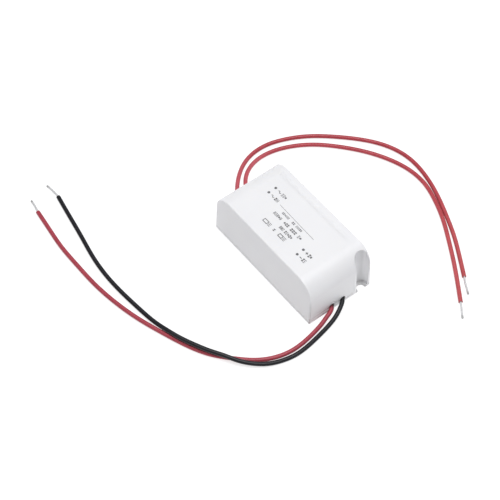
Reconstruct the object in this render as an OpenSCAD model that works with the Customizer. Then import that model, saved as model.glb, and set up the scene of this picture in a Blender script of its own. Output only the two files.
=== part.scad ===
// Enclosed mains power supply module: a two-piece white plastic case with a
// small switching supply on a board inside, two input leads at the far end and
// two output leads at the near end. Millimetres. The origin is the middle of
// the case's underside, +X points to the output end, +Z up.

/* [Case] */
// Length of the case over its two lead ends
case_l = 60; // [59.5:0.5:61]
// Width of the case at its foot
case_w = 31; // [31:0.5:33]
// Height of the case
case_h = 22.5; // [22.5:0.5:25]
// Wall thickness of the cover
wall = 1.5; // [1.2:0.1:1.6]
// Radius of the rounding over each end of the cover
end_r = 8; // [6:0.5:9]
// Radius along the long top edges
edge_r = 0.6; // [0.4:0.1:1]
// Draft angle of the long walls
side_draft = 1.5; // [0.5:0.25:2]
// Draft angle of the end walls
end_draft = 1; // [0.5:0.25:1.5]

/* [Screw pocket] */
// Distance of the pocket's axis from the middle of the case, along it
pocket_x = 29.5; // [29.3:0.1:29.6]
// Distance of the pocket's axis from the middle of the case, across it
pocket_y = 11.35; // [11.25:0.05:11.45]
// Radius of the pocket at its foot
pocket_r = 2.9; // [2.8:0.05:2.95]
// Growth of the pocket's radius for each millimetre of height
pocket_taper = 0.04; // [0.03:0.005:0.05]
// Thickness left of the long wall beside the pocket
pocket_wall = 0.6; // [0.5:0.1:0.8]
// Distance of the screw notch from the middle of the case, along it
notch_x = 29.6; // [29.4:0.1:29.8]
// Distance of the screw notch from the middle of the case, across it
notch_y = 11.2; // [11:0.1:11.5]
// Radius of the screw notch in the plate
notch_r = 1.9; // [1.5:0.1:2]

/* [Base plate] */
// Thickness of the rim that the cover stands on
rim_t = 1.2; // [1.1:0.1:1.3]
// Height of the raised middle above the table
plate_t = 2; // [1.8:0.1:2]

/* [Board] */
// Length of the circuit board
pcb_l = 54; // [53:0.5:54]
// Width of the circuit board
pcb_w = 26.6; // [26:0.2:26.6]
// Height of the board's underside above the table
pcb_z = 4.6; // [4.5:0.1:4.8]
// Thickness of the board
pcb_t = 1.6; // [1.2:0.2:1.6]
// Radius of a component lead
pin_r = 0.3; // [0.25:0.05:0.3]

/* [Leads] */
// Outside diameter of each lead's insulation
lead_d = 1.8; // [1.6:0.1:1.8]
// Diameter of the tinned ends
wire_d = 0.9; // [0.8:0.1:0.9]

/* [Hidden] */
$fn = 64;

hl = case_l / 2;
hw = case_w / 2;
te = tan(end_draft);
ts = tan(side_draft);
top = pcb_z + pcb_t;          // the board's upper face
cu = 0.07;                    // copper thickness
ceiling = case_h - wall;
rib_x = [-17, 12.4];          // ribs that hold the board down
post_xy = [[-17.6, 12.3], [11, 12.3], [-16.8, -12.3], [17.6, -12.3]];
slot_y = [4.1, -1.45];        // lead slots at the far end; the near end's are opposite
slot_hw = 1.4;                // half the width of a lead slot
slot_top = 3.8;

// Routes of the four leads' centrelines, from inside the case to the end of the
// insulation. They rest on the table at half their diameter.
lz = lead_d / 2;
route_out_red = [
    [26.6, -3.2, 2.65], [28.5, -3.7, 2.6], [29.7, -4.1, 2.5],
    [30.8, -4.9, 2.4], [31.6, -6.3, 2.2], [32.3, -8.5, 1.8],
    [33.2, -11.3, 1.35], [34.3, -16, 0.95], [35.4, -22.6, lz],
    [35.5, -29.1, lz], [33.6, -36.5, lz], [29.8, -42.9, lz], [24.5, -48.5, lz],
    [17.7, -54.3, lz], [9.3, -58.9, lz], [-1.9, -63.2, lz], [-12.6, -66.7, lz],
    [-24.6, -69.4, lz], [-36.9, -70.9, lz], [-49, -71.2, lz], [-60, -71.1, lz],
    [-70, -70.1, lz], [-80.6, -68.9, lz]
];
route_out_black = [
    [26.6, 2.2, 2.65], [28.6, 1.8, 2.65], [29.7, 1.4, 2.6], [30.6, 0.8, 2.5],
    [31.3, 0, 2.4], [32.3, -1.6, 2.2], [33.8, -4.6, 1.65], [35.6, -10.5, 1.05],
    [36.9, -17, lz], [37.8, -23, lz], [37.9, -29, lz], [36.7, -34.6, lz],
    [34.4, -40.1, 1.25], [30.9, -44.8, 1.85], [27.1, -48.2, 2.35],
    [22.4, -51.1, 2.8], [17.5, -54.1, 2.9], [11.6, -57.1, 2.9],
    [5.1, -59.8, 2.75], [-0.4, -61.4, 2.4], [-6.5, -62.6, 1.5],
    [-16, -63.7, lz], [-26, -64.6, lz], [-36, -64.9, lz], [-48, -63.9, lz],
    [-59, -61.9, lz], [-70, -60, lz], [-82, -57.9, lz]
];
route_in_outer = [
    [-26.6, -1.5, 2.65], [-30.5, -1.5, 2.6], [-34, -0.5, 2], [-37.5, 1.3, 1.2],
    [-41, 4, 0.95], [-45.4, 8.6, lz], [-48.6, 13.6, lz], [-50.6, 19.9, lz],
    [-50.6, 27.3, lz], [-48.1, 35.6, lz], [-43.1, 44.7, lz], [-36.1, 53.1, lz],
    [-28.2, 60.7, lz], [-19.2, 66.8, lz], [-9, 69.9, lz], [3, 69.2, lz],
    [14, 66.1, lz], [24, 62, lz], [33.9, 57.3, lz], [42.8, 52.1, lz],
    [51, 47, lz]
];
route_in_inner = [
    [-26.6, 4, 2.65], [-30.5, 4, 2.6], [-34, 4.7, 2], [-37.5, 6, 1.2],
    [-41.1, 8.4, 0.95], [-44.3, 12.1, lz], [-46.6, 18, lz], [-46.7, 25.1, lz],
    [-44, 34, lz], [-38.5, 43, lz], [-30.6, 51.1, lz], [-22, 57.8, lz],
    [-12.5, 63, lz], [-2.5, 66, lz], [6.5, 66, lz], [14.9, 63.7, lz],
    [24.1, 59.8, lz], [33, 54.8, lz], [42, 49.3, lz], [51, 43.3, lz],
    [59, 37.7, lz]
];
// The tinned ends sag from the end of the insulation to the table.
tip_out_red = [[-80.6, -68.9, lz], [-82.3, -68.5, 0.85], [-85, -68, 0.65], [-87.4, -67.7, 0.5]];
tip_out_black = [[-82, -57.9, lz], [-84.6, -57.9, 0.85], [-87.4, -58, 0.65], [-90, -58.3, 0.5]];
tip_in_outer = [[51, 47, lz], [52.6, 45.9, 0.8], [55.2, 44.4, 0.6], [58, 42.8, 0.5]];
tip_in_inner = [[59, 37.7, lz], [60.6, 36.6, 0.8], [62.8, 34.9, 0.6], [65, 33.3, 0.5]];

// ---- helpers ----

function unit(v) = v / norm(v);
function heading(p, i) =
    i == 0 ? unit(p[1] - p[0]) :
    i == len(p) - 1 ? unit(p[i] - p[i - 1]) :
    unit(unit(p[i + 1] - p[i]) + unit(p[i] - p[i - 1]));
function ring(c, t, r, n, across) =
    let (side = is_undef(across) ? unit(cross(t, [0, 0, 1])) : across, up = cross(side, t))
    [for (k = [0:n - 1]) let (a = 360 * (k + 0.5) / n) c + r * (cos(a) * side + sin(a) * up)];

// A round cord swept along the points of p, closed at both ends. A route that
// turns straight up names the direction across it.
module swept(p, r, n = 8, first = undef, across = undef) {
    m = len(p);
    pts = [for (i = [0:m - 1])
        each ring(p[i], (i == 0 && !is_undef(first)) ? unit(first) : heading(p, i), r, n, across)];
    sides = [for (i = [0:m - 2], k = [0:n - 1])
        let (a = i * n + k, b = i * n + (k + 1) % n) [a, b, b + n, a + n]];
    polyhedron(
        points = pts,
        faces = concat(
            [[for (k = [0:n - 1]) n - 1 - k]],
            sides,
            [[for (k = [0:n - 1]) (m - 1) * n + k]]),
        convexity = 8);
}

// Where the bare inner end of a lead turns up into the board.
function tail_xy(p) = let (d = unit(p[1] - p[0])) [p[0].x - 1.5 * d.x, p[0].y - 1.5 * d.y];

// ---- places of the component leads on the board ----

p_tails = [tail_xy(route_out_red), tail_xy(route_out_black),
           tail_xy(route_in_outer), tail_xy(route_in_inner)];
p_fuse = [[-21.6, 4], [-21.6, 12.2]];
p_bridge = [for (sx = [-1, 1], sy = [-1, 1]) [-19.6 + sx * 3.81, -1.6 + sy * 2.54]];
p_cap1 = [[-12.4, 6.65], [-12.4, 10.15]];
p_cap2 = [[-12.6, -10.35], [-12.6, -6.85]];
p_choke = [[-20.2, -11.4], [-20.2, -7.4]];
p_chip = [for (sy = [-1, 1], k = [-1.5:1:1.5]) [-9.6 + 2.54 * k, -0.1 + sy * 3.81]];
p_snub_d = [[-7.6, 10.6], [-0.6, 10.6]];
p_snub_c = [[-7.1, 6.6], [-4.1, 6.6]];
p_snub_r = [[-7.9, -11.2], [-0.5, -11.2]];
p_supply = [[-6.8, -7.2], [-4.8, -7.2]];
p_trafo = [for (sx = [-1, 1], k = [-1.5:1:1.5]) [4.5 + 6.2 * sx, 3.5 * k]];
p_opto = [for (sx = [-1, 1], sy = [-1, 1]) [5.5 + sx * 3.81, -10.8 + sy * 1.27]];
p_safety = [[1.3, 10.6], [7.7, 10.6]];
p_out_d = [[12.6, -10], [22.6, -10]];
p_out_1 = [[15.85, 7.2], [19.35, 7.2]];
p_out_2 = [[15.85, -2.6], [19.35, -2.6]];
p_bleed = [[24.3, -12.2], [24.3, -6.2]];

p_all = concat(p_tails, p_fuse, p_bridge, p_cap1, p_cap2, p_choke, p_chip,
    p_snub_d, p_snub_c, p_snub_r, p_supply, p_trafo, p_opto, p_safety,
    p_out_d, p_out_1, p_out_2, p_bleed);

module pins(p, to, r = pin_r)
    for (q = p) translate([q.x, q.y, pcb_z - 1]) cylinder(r = r, h = to - pcb_z + 1, $fn = 24);

// ---- case ----

// Side view of the case, drafted at its ends and rounded over their tops.
module side_view(half, h, r, z0) {
    cz = h - r;
    cx = half - cz * te - r / cos(end_draft);
    tx = cx + r * cos(end_draft);
    tz = cz + r * sin(end_draft);
    polygon([[-(half - z0 * te), z0], [half - z0 * te, z0], [tx, tz], [cx, h],
             [-cx, h], [-tx, tz]]);
    for (s = [-1, 1]) translate([s * cx, cz]) circle(r = r);
}

// End view of the case, drafted at its long sides.
module end_view(half, h, r, z0) {
    cz = h - r;
    cy = half - cz * ts - r / cos(side_draft);
    ty = cy + r * cos(side_draft);
    tz = cz + r * sin(side_draft);
    polygon([[-(half - z0 * ts), z0], [half - z0 * ts, z0], [ty, tz], [cy, h],
             [-cy, h], [-ty, tz]]);
    for (s = [-1, 1]) translate([s * cy, cz]) circle(r = r);
}

module block(dl, dw, dh, r_end, r_edge, z0) intersection() {
    rotate([90, 0, 0]) translate([0, 0, -hw - 1])
        linear_extrude(height = case_w + 2) side_view(hl - dl, case_h - dh, r_end, z0);
    rotate([90, 0, 90]) translate([0, 0, -hl - 1])
        linear_extrude(height = case_l + 2) end_view(hw - dw, case_h - dh, r_edge, z0);
}

module pocket(grow, z0) translate([pocket_x, pocket_y, z0])
    cylinder(r1 = pocket_r + grow + pocket_taper * (z0 - rim_t),
             r2 = pocket_r + grow + pocket_taper * (case_h + 2 - rim_t),
             h = case_h + 2 - z0);

// The pocket as cut: flat where it runs along the long wall.
module pocket_cut() intersection() {
    pocket(0, rim_t - 0.1);
    translate([0, hw - pocket_wall, 0]) rotate([side_draft, 0, 0])
        translate([0, -20, -5]) cube([hl + 5, 20, case_h + 10]);
}

// Arched slot in the foot of each end wall, one for each lead.
module lead_slots() for (a = [0, 180], y = slot_y) rotate(a) {
    translate([-hl - 2, y - slot_hw, 0]) cube([4, 2 * slot_hw, slot_top - slot_hw]);
    translate([-hl - 2, y, slot_top - slot_hw]) rotate([0, 90, 0])
        cylinder(r = slot_hw, h = 4);
}

module housing() color("whitesmoke") difference() {
    union() {
        difference() {
            block(0, 0, 0, end_r, edge_r, rim_t);
            block(wall, wall, wall, end_r - wall, edge_r, rim_t - 0.5);
        }
        // wall round the screw pocket
        intersection() {
            block(0.2, 0.2, 0.2, end_r, edge_r, rim_t);
            pocket(1.4, rim_t);
        }
        // ribs that press on the board's edges
        for (x = rib_x, s = [-1, 1])
            translate([x - 0.5, s > 0 ? 12.5 : -14.3, top]) cube([1, 1.8, ceiling - top + 0.5]);
    }
    pocket_cut();
    lead_slots();
    // narrow shadow gap round the foot
    difference() {
        translate([-hl - 1, -hw - 1, rim_t - 0.1]) cube([case_l + 2, case_w + 2, 0.25]);
        translate([-hl + 0.6, -hw + 0.6, 0]) cube([case_l - 1.2, case_w - 1.2, 2]);
    }
    // shallow sink line along the top
    translate([-21.5, 11.5, case_h + 2.85]) rotate([0, 90, 0]) cylinder(r = 3, h = 41);
}

module base_plate() color("gainsboro") difference() {
    union() {
        translate([-hl, -hw, 0]) cube([case_l, case_w, rim_t]);
        // raised middle that fills the cover's mouth, clear of the pocket
        difference() {
            translate([-hl + wall + 0.2, -hw + wall + 0.15, rim_t - 0.1])
                cube([case_l - 2 * wall - 0.4, case_w - 2 * wall - 0.3, plate_t - rim_t + 0.1]);
            pocket(1.6, rim_t);
            translate([pocket_x, pocket_y - pocket_r - 1.6, rim_t])
                cube([5, 2 * pocket_r + 3.2, 2]);
        }
        // posts under the board
        for (p = post_xy) translate([p.x, p.y, plate_t - 0.1])
            cylinder(r = 0.8, h = pcb_z - plate_t + 0.1);
    }
    // screw notch
    translate([notch_x, notch_y, -1]) cylinder(r = notch_r, h = 4);
    translate([notch_x, notch_y - notch_r, -1]) cube([3, 2 * notch_r, 4]);
    // ways for the leads
    for (a = [0, 180], y = slot_y) rotate(a)
        translate([-hl - 1, y - slot_hw, rim_t]) cube([5, 2 * slot_hw, 3]);
}

// ---- board ----

module board_outline() {
    translate([-pcb_l / 2, -pcb_w / 2, 0]) cube([pcb_l, pcb_w, pcb_t]);
}

module circuit_board() color("darkolivegreen") translate([0, 0, pcb_z]) difference() {
    board_outline();
    translate([pcb_l / 2 - 3.5, pcb_w / 2 - 8.5, -1]) cube([10, 20, pcb_t + 2]);
    for (q = p_all) translate([q.x, q.y, -1]) cylinder(r = 0.45, h = pcb_t + 2, $fn = 24);
    // slot that keeps the mains side apart under the transformer
    translate([4.2, -6.5, -1]) cube([1, 13, pcb_t + 2]);
}

// One straight copper track between two points.
module track(a, b, w) {
    d = b - a;
    translate([a.x, a.y, 0]) rotate(atan2(d.y, d.x)) translate([0, -w / 2, 0]) cube([norm(d), w, cu]);
}

module copper_tracks() color("peru") translate([0, 0, pcb_z - cu]) difference() {
    union() {
        for (q = p_all) translate([q.x, q.y, 0]) cylinder(r = 0.95, h = cu, $fn = 32);
        track(p_tails[3], p_fuse[0], 1.4);
        track(p_tails[2], p_bridge[0], 1.4);
        track(p_bridge[2], [-14.8, -6.4], 1.4);
        track([-14.8, -6.4], p_cap2[1], 1.4);
        track(p_choke[1], [-16.4, -7.4], 1.2);
        track([-16.4, -7.4], p_bridge[2], 1.2);
        track(p_bridge[3], [-13.9, 5.6], 1.2);
        track([-13.9, 5.6], p_cap1[0], 1.2);
        track(p_chip[7], p_snub_c[1], 1);
        track(p_snub_d[0], p_snub_c[0], 1);
        track(p_chip[1], [-10.4, -6.4], 0.9);
        track(p_chip[3], p_supply[1], 0.9);
        track(p_snub_r[1], p_opto[1], 0.8);
        track(p_snub_d[1], p_safety[0], 0.9);
        track(p_trafo[7], p_out_1[0], 1.6);
        track(p_trafo[4], p_out_d[0], 1.6);
        track(p_out_1[1], p_tails[1], 1.6);
        track(p_out_2[1], p_tails[0], 1.6);
        track(p_out_d[1], p_bleed[1], 1.2);
        track(p_opto[2], p_out_d[0], 0.8);
    }
    for (q = p_all) translate([q.x, q.y, -1]) cylinder(r = 0.45, h = 3, $fn = 24);
}

module solder_joints() color("silver") for (q = p_all)
    translate([q.x, q.y, pcb_z - cu - 0.8]) difference() {
        cylinder(r1 = 0.42, r2 = 0.85, h = 0.8, $fn = 24);
        translate([0, 0, -1]) cylinder(r = pin_r, h = 3, $fn = 24);
    }

// ---- leads ----

module output_lead_red() color("firebrick") swept(route_out_red, lead_d / 2);
module output_lead_black() color("dimgray") swept(route_out_black, lead_d / 2);
module input_lead_outer() color("firebrick") swept(route_in_outer, lead_d / 2);
module input_lead_inner() color("firebrick") swept(route_in_inner, lead_d / 2);

module tinned(t, p) swept(t, wire_d / 2, 8, p[len(p) - 1] - p[len(p) - 2]);
module output_tip_red() color("silver") tinned(tip_out_red, route_out_red);
module output_tip_black() color("silver") tinned(tip_out_black, route_out_black);
module input_tip_outer() color("silver") tinned(tip_in_outer, route_in_outer);
module input_tip_inner() color("silver") tinned(tip_in_inner, route_in_inner);

// Bare inner ends: out of the insulation, then up through the board.
module tail(p) {
    d = unit(p[1] - p[0]);
    q = tail_xy(p);
    swept([p[0], p[0] - 0.9 * d, [q.x + 0.15 * d.x, q.y + 0.15 * d.y, p[0].z + 0.15],
           [q.x, q.y, p[0].z + 0.6], [q.x, q.y, top + 0.8]],
          pin_r, across = unit(cross([d.x, d.y, 0], [0, 0, 1])));
}

module lead_tails() color("silver") {
    tail(route_out_red);
    tail(route_out_black);
    tail(route_in_outer);
    tail(route_in_inner);
}

// ---- components ----

// Axial part lying on the board: body along the line between its two leads.
module axial(p, r, l, waist = 0) {
    z = top + r + 0.2;
    d = p[1] - p[0];
    mid = (p[0] + p[1]) / 2;
    translate([mid.x, mid.y, z]) rotate(atan2(d.y, d.x)) rotate([0, 90, 0]) {
        translate([0, 0, -l / 2]) cylinder(r = r, h = l);
        if (waist > 0) for (s = [-1, 1]) translate([0, 0, s * (l / 2 - waist / 2) - waist / 2])
            cylinder(r = r + 0.15, h = waist);
        translate([0, 0, -norm(d) / 2]) cylinder(r = pin_r, h = norm(d), $fn = 24);
    }
    for (q = p) translate([q.x, q.y, z]) sphere(r = pin_r, $fn = 24);
    pins(p, z);
}

// Round can standing on the board: rolled groove near its foot, vented top.
module can(p, r, h) {
    mid = (p[0] + p[1]) / 2;
    translate([mid.x, mid.y, top]) rotate_extrude() polygon([
        [0, 0], [r - 0.5, 0], [r - 0.2, 0.3], [r, 0.6], [r, 1.4], [r - 0.4, 1.8],
        [r, 2.2], [r, h - 0.4], [r - 0.4, h], [r - 0.9, h], [r - 0.9, h - 0.2], [0, h - 0.2]]);
    pins(p, top + 0.2);
}

// Flat lidded block with two rows of bent legs.
module dip(c, bx, by, h, legs, along_x) {
    difference() {
        translate([c.x - bx / 2, c.y - by / 2, top + 0.4]) cube([bx, by, h]);
        // orientation dimple
        translate(along_x ? [c.x - bx / 2, c.y, top + h - 0.1] : [c.x, c.y + by / 2, top + h - 0.1])
            cylinder(r = 0.8, h = 1, $fn = 24);
    }
    for (q = legs) {
        in = along_x ? [q.x, c.y + sign(q.y - c.y) * (by / 2 - 0.3)]
                     : [c.x + sign(q.x - c.x) * (bx / 2 - 0.3), q.y];
        z = top + 0.4 + h / 2;
        translate([min(q.x, in.x) - (along_x ? 0.5 : 0), min(q.y, in.y) - (along_x ? 0 : 0.5), z - 0.15])
            cube([along_x ? 1 : abs(q.x - in.x), along_x ? abs(q.y - in.y) : 1, 0.3]);
        translate([q.x - (along_x ? 0.5 : 0.3), q.y - (along_x ? 0.3 : 0.5), top + 0.1])
            cube([along_x ? 1 : 0.6, along_x ? 0.6 : 1, z + 0.05 - top]);
    }
    pins(legs, top + 0.2);
}

// Disc on two legs, standing on edge along X.
module disc(p, r, t) {
    mid = (p[0] + p[1]) / 2;
    z = top + 1 + r;
    translate([mid.x, mid.y, z]) rotate([90, 0, 0]) {
        translate([0, 0, -t / 2 + 0.4]) cylinder(r = r, h = t - 0.8);
        translate([0, 0, -t / 2]) cylinder(r1 = r - 0.5, r2 = r, h = 0.4);
        translate([0, 0, t / 2 - 0.4]) cylinder(r1 = r, r2 = r - 0.5, h = 0.4);
    }
    for (q = p) translate([q.x, q.y, top + 0.1]) cylinder(r = 0.45, h = 1.4 + 0.15 * r, $fn = 24);
    pins(p, z - 0.3);
}

module fusible_resistor() color("mediumseagreen") axial(p_fuse, 1.5, 6.2, 1);
module bridge_rectifier() color("#303030") dip([-19.6, -1.6], 6.2, 8.2, 2.8, p_bridge, false);
module input_capacitor_1() color("#2b2b35") can(p_cap1, 4, 12.5);
module input_capacitor_2() color("#2b2b35") can(p_cap2, 4, 12.5);
module supply_capacitor() color("#2b2b35") can(p_supply, 2.45, 11);
module output_capacitor_1() color("#243a2c") can(p_out_1, 4, 12);
module output_capacitor_2() color("#243a2c") can(p_out_2, 4, 12);
module controller_chip() color("#262626") dip([-9.6, -0.1], 9.2, 6.2, 3.2, p_chip, true);
module optocoupler() color("ivory") dip([5.5, -10.8], 6.2, 4.4, 3.2, p_opto, false);
module snubber_diode() color("#202020") axial(p_snub_d, 1.3, 5);
module snubber_resistor() color("burlywood") axial(p_snub_r, 1.1, 5.4, 0.9);
module bleed_resistor() color("burlywood") axial(p_bleed, 1, 4.4, 0.8);
module output_diode() color("#202020") axial(p_out_d, 1.8, 7.4);
module snubber_capacitor() color("chocolate") disc(p_snub_c, 2.2, 2.2);
module safety_capacitor() color("royalblue") disc(p_safety, 3.6, 3.2);

// Drum of ferrite with a waist for the wire.
module filter_choke_core() color("#3a3a3c") {
    translate([-20.2, -9.4, top + 0.1]) rotate_extrude() polygon([
        [0, 0], [3, 0], [3, 1], [1.6, 1], [1.6, 6.8], [3, 6.8], [3, 7.8], [0, 7.8]]);
    // the two legs are cemented in the lower flange
    pins(p_choke, top + 0.6);
}
module filter_choke_winding() color("#b5651d") translate([-20.2, -9.4, top + 1.1]) difference() {
    cylinder(r = 2.8, h = 5.8);
    translate([0, 0, -1]) cylinder(r = 1.6, h = 8);
}

// Transformer, winding along X. E-shaped core halves meet in the middle.
tx = 4.5;
tz = 13.2;
module core_half() difference() {
    translate([-7.2, -8, -2.4]) cube([7.2, 16, 4.8]);
    for (s = [-1, 1]) translate([-5.2, s > 0 ? 2 : -5.9, -3]) cube([6, 3.9, 6]);
}
module transformer_core_a() color("#3c3c3e") translate([tx, 0, tz]) core_half();
module transformer_core_b() color("#3c3c3e") translate([tx, 0, tz]) rotate(180) core_half();

module transformer_bobbin() color("#1d1d1f") translate([tx, 0, tz]) difference() {
    union() {
        translate([-4.9, -2.8, -3.2]) cube([9.8, 5.6, 6.4]);
        for (s = [-1, 1]) {
            translate([s * 4.75 - 0.35, -5.6, -5.9]) cube([0.7, 11.2, 11.8]);
            translate([s > 0 ? 4.4 : -7.6, -6.5, 9.2 - tz - 2.6]) cube([3.2, 13, 2.6]);
        }
    }
    translate([-6, -2, -2.4]) cube([12, 4, 4.8]);
    // blind holes for the pins
    for (q = p_trafo) translate([q.x - tx, q.y, -8]) cylinder(r = pin_r, h = 9.2 - tz - 1 + 8, $fn = 24);
}
module transformer_pins() color("silver") pins(p_trafo, 8.2);

module transformer_winding() color("#b5651d") translate([tx, 0, tz]) difference() {
    translate([-4.4, -5.1, -5.4]) cube([8.8, 10.2, 10.8]);
    translate([-5, -2.8, -3.2]) cube([10, 5.6, 6.4]);
}
module winding_tape() color("gold") translate([tx, 0, tz]) difference() {
    translate([-4.4, -5.3, -5.6]) cube([8.8, 10.6, 11.2]);
    translate([-5, -5.1, -5.4]) cube([10, 10.2, 10.8]);
}
module core_tape() color("gold") translate([tx, 0, tz]) difference() {
    translate([-7.4, -8.2, -1.9]) cube([14.8, 16.4, 3.8]);
    translate([-7.2, -8, -3]) cube([14.4, 16, 6]);
}

// Surface-mounted parts under the board.
module chip_part(c, a, l, w, h) translate([c.x, c.y, pcb_z - h]) rotate(a) {
    translate([-l / 2 + 0.45, -w / 2, 0]) cube([l - 0.9, w, h]);
    for (s = [-1, 1]) translate([s * (l / 2 - 0.25) - 0.25, -w / 2 - 0.03, -0.03])
        cube([0.5, w + 0.06, h + 0.03]);
}
module chip_resistors() color("#2a2a2a") {
    chip_part([-4.2, 0.6], 90, 3.2, 1.6, 0.6);
    chip_part([-1.6, 8.4], 0, 3.2, 1.6, 0.6);
    chip_part([13.6, -6.6], 0, 2, 1.25, 0.5);
    chip_part([15, -8.2], 0, 2, 1.25, 0.5);
    chip_part([-18.6, 4.6], 0, 3.2, 1.6, 0.6);
    chip_part([20.8, -6.6], 90, 2, 1.25, 0.5);
}
module chip_capacitors() color("tan") {
    chip_part([-12.6, -0.2], 0, 2, 1.25, 0.8);
    chip_part([-6.9, -0.2], 0, 2, 1.25, 0.8);
    chip_part([15.9, 2.4], 0, 2, 1.25, 0.8);
}

housing();
base_plate();
circuit_board();
copper_tracks();
solder_joints();
output_lead_red();
output_lead_black();
input_lead_outer();
input_lead_inner();
output_tip_red();
output_tip_black();
input_tip_outer();
input_tip_inner();
lead_tails();
fusible_resistor();
bridge_rectifier();
input_capacitor_1();
input_capacitor_2();
filter_choke_core();
filter_choke_winding();
controller_chip();
snubber_diode();
snubber_capacitor();
snubber_resistor();
supply_capacitor();
transformer_core_a();
transformer_core_b();
transformer_bobbin();
transformer_pins();
transformer_winding();
winding_tape();
core_tape();
optocoupler();
safety_capacitor();
output_diode();
output_capacitor_1();
output_capacitor_2();
bleed_resistor();
chip_resistors();
chip_capacitors();
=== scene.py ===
"""Looks of the enclosed power supply module: white moulded case, two red input
leads, a red and a black output lead. Metres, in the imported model's frame."""

import math
import random

import bmesh
import bpy
import numpy as np
from mathutils import Matrix, Vector


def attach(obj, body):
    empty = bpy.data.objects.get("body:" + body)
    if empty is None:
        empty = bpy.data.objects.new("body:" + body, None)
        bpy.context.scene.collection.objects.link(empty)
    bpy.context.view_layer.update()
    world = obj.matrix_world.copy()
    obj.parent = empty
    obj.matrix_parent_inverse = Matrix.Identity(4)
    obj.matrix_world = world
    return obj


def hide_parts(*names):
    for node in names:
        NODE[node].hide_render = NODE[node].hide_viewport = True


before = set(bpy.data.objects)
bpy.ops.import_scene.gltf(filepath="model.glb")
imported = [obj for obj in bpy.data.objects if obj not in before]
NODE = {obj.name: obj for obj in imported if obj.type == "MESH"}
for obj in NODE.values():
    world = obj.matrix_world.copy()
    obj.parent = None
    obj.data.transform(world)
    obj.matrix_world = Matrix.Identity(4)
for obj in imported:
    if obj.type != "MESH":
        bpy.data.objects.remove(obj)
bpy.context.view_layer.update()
MM = 0.001
random.seed(7)
scene = bpy.context.scene


# ---------------------------------------------------------------- camera

def make_camera():
    az, el = math.radians(52.02925), math.radians(54.46155)
    back = Vector((math.sin(az) * math.cos(el), -math.cos(az) * math.cos(el), math.sin(el)))
    right = Vector((math.cos(az), math.sin(az), 0))
    up = back.cross(right)
    place = (back * 604.0561 - right * 16.80493 + up * 2.05367) * MM
    cam = bpy.data.objects.new("camera", bpy.data.cameras.new("camera"))
    cam.data.lens, cam.data.sensor_width = 108, 36
    cam.data.clip_start, cam.data.clip_end = 0.01, 10
    cam.matrix_world = Matrix((
        (right.x, up.x, back.x, place.x),
        (right.y, up.y, back.y, place.y),
        (right.z, up.z, back.z, place.z),
        (0, 0, 0, 1)))
    scene.collection.objects.link(cam)
    scene.camera = cam


make_camera()


# ---------------------------------------------------------------- materials

def new_material(name):
    m = bpy.data.materials.get(name) or bpy.data.materials.new(name)
    m.use_nodes = True
    m.node_tree.nodes.clear()
    return m, m.node_tree


def node(tree, kind, at=(0, 0), **sockets):
    n = tree.nodes.new(kind)
    n.location = at
    for k, v in sockets.items():
        n.inputs[k.replace("_", " ")].default_value = v
    return n


def shader(tree, **sockets):
    out = tree.nodes.new("ShaderNodeOutputMaterial")
    out.location = (600, 0)
    p = tree.nodes.new("ShaderNodeBsdfPrincipled")
    p.location = (300, 0)
    for k, v in sockets.items():
        p.inputs[k.replace("_", " ")].default_value = v
    tree.links.new(p.outputs[0], out.inputs["Surface"])
    return p


def coords(tree, kind="Object", scale=(1, 1, 1), turn=(0, 0, 0)):
    t = tree.nodes.new("ShaderNodeTexCoord")
    t.location = (-1100, 0)
    m = tree.nodes.new("ShaderNodeMapping")
    m.location = (-900, 0)
    m.inputs["Scale"].default_value = scale
    m.inputs["Rotation"].default_value = turn
    tree.links.new(t.outputs[kind], m.inputs["Vector"])
    return m.outputs[0]


def noise(tree, vector, scale, detail=2.0, rough=0.5, at=(-650, 0)):
    n = tree.nodes.new("ShaderNodeTexNoise")
    n.location = at
    n.inputs["Scale"].default_value = scale
    n.inputs["Detail"].default_value = detail
    n.inputs["Roughness"].default_value = rough
    tree.links.new(vector, n.inputs["Vector"])
    return n.outputs[0]


def ramp(tree, value, stops, at=(-350, 0), kind="LINEAR"):
    r = tree.nodes.new("ShaderNodeValToRGB")
    r.location = at
    r.color_ramp.interpolation = kind
    e = r.color_ramp.elements
    while len(e) < len(stops):
        e.new(0.5)
    for x, (pos, col) in zip(e, stops):
        x.position = pos
        x.color = (*col, 1)
    tree.links.new(value, r.inputs[0])
    return r.outputs[0]


def span(tree, value, lo, hi, a=0.3, b=0.7, at=(-350, -200)):
    m = tree.nodes.new("ShaderNodeMapRange")
    m.location = at
    for i, v in zip((1, 2, 3, 4), (a, b, lo, hi)):
        m.inputs[i].default_value = v
    tree.links.new(value, m.inputs[0])
    return m.outputs[0]


def bump(tree, p, height, depth, strength=1.0, under=None, at=(50, -400)):
    b = tree.nodes.new("ShaderNodeBump")
    b.location = at
    b.inputs["Strength"].default_value = strength
    b.inputs["Distance"].default_value = depth
    tree.links.new(height, b.inputs["Height"])
    if under is not None:
        tree.links.new(under, b.inputs["Normal"])
    if p is not None:
        tree.links.new(b.outputs[0], p.inputs["Normal"])
    return b.outputs[0]


def vary(col, f):
    return tuple(min(1.0, c * f) for c in col)


def plain(name, col, rough=0.4, metal=0.0, change=0.06, scale=900, grain=5000,
          depth=4e-6, rough_change=0.08, **more):
    """A moulded, dipped or ground surface: soft colour change, uneven gloss, fine grain."""
    m, t = new_material(name)
    p = shader(t, Metallic=metal, **more)
    v = coords(t)
    big = noise(t, v, scale, 3, 0.55, (-650, 200))
    fine = noise(t, v, grain, 2, 0.6, (-650, -200))
    t.links.new(ramp(t, big, [(0.3, vary(col, 1 - change)), (0.7, vary(col, 1 + change))], (-350, 200)),
                p.inputs["Base Color"])
    t.links.new(span(t, big, max(0.05, rough - rough_change), min(1, rough + rough_change)),
                p.inputs["Roughness"])
    bump(t, p, fine, depth)
    m.diffuse_color = (*col, 1)
    return m


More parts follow.
